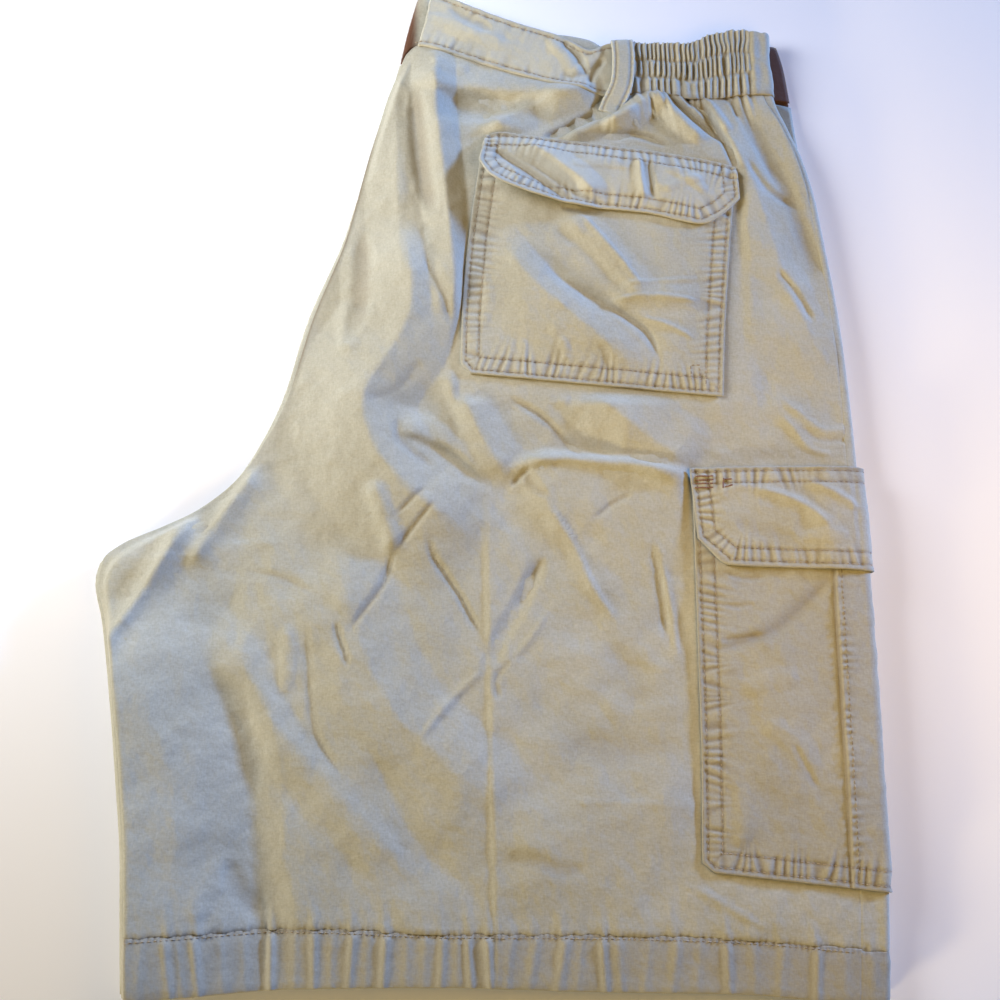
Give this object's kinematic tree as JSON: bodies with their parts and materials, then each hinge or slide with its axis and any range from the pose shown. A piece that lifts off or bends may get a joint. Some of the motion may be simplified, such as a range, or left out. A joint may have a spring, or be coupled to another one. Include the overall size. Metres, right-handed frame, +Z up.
{
  "type": "cargo shorts",
  "caption": "Cargo shorts folded in half lengthwise and laid flat, with a gathered side waistband, a flapped back pocket and a pleated cargo pocket over the side fold.",
  "frame": {"origin": "centre of the bounding box, on the surface that the folded shorts lie on", "axes": "+Y from the hem to the waist, +X from the inseam to the side fold, +Z up from the surface"},
  "size_m": [0.4236, 0.5772, 0.0269],
  "materials": {
    "twill": "washed khaki cotton twill, matt",
    "waistband_inside": "dark brown cotton facing, matt",
    "thread": "brown topstitching thread, satin"
  },
  "bodies": {
    "root": {"back_panel": "twill", "front_panel": "twill", "hem_back": "twill", "hem_front": "twill", "hidden_layers": "twill", "waistband_back": "twill", "waistband_side": "twill", "waistband_hidden": "waistband_inside", "belt_loop": "twill", "back_pocket": "twill", "back_pocket_flap": "twill", "cargo_pocket": "twill", "cargo_pocket_flap": "twill"}
  },
  "joints": []
}
